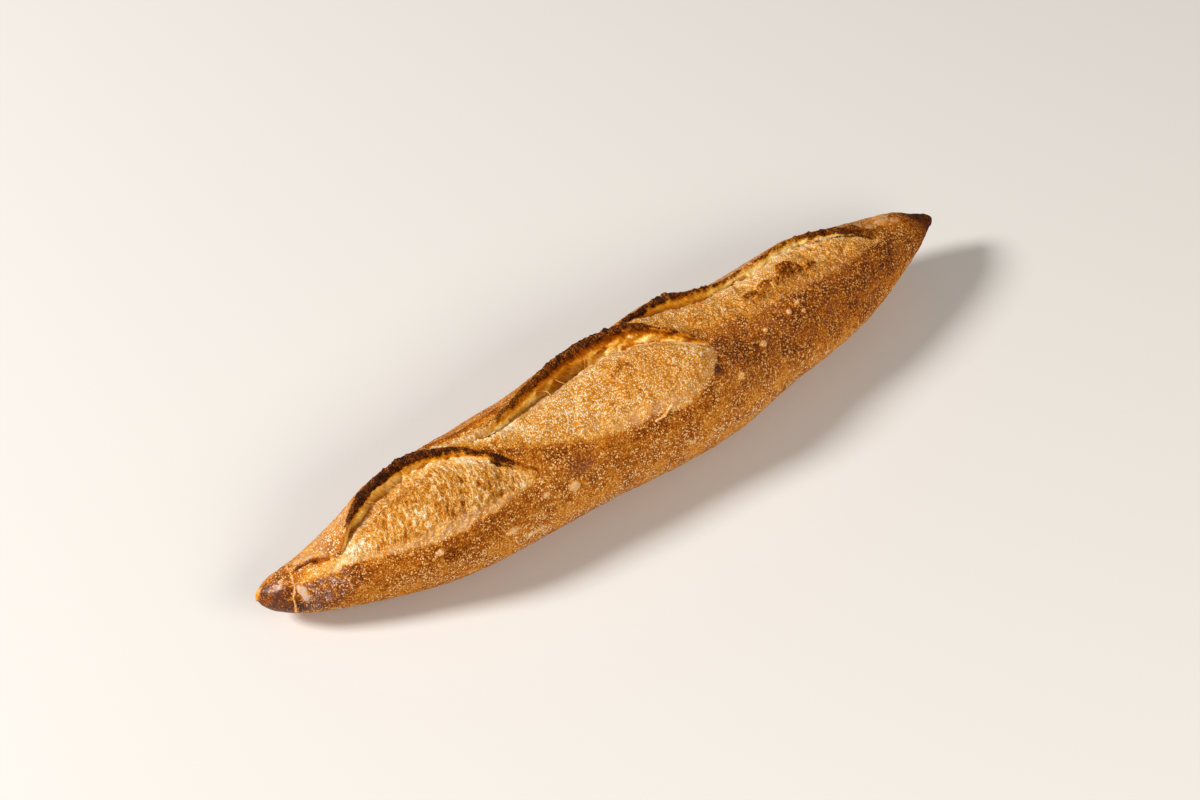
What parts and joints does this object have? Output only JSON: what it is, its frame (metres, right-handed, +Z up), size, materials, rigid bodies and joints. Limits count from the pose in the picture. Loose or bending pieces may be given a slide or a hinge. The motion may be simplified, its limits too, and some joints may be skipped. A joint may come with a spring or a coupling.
{
  "type": "baguette",
  "caption": "Short baguette with one blunt and one pointed end, slashed along the top, each slash torn into a rough golden bloom under a lifted, dark-edged ear of crust.",
  "frame": {"origin": "centre of the loaf's box, on the surface that it lies on", "axes": "+X along the loaf to its pointed end, -Y to the side that the ears open towards, +Z up"},
  "size_m": [0.32, 0.0638, 0.051],
  "materials": {
    "crust": "matte"
  },
  "bodies": {
    "root": {"loaf": "crust"}
  },
  "joints": []
}
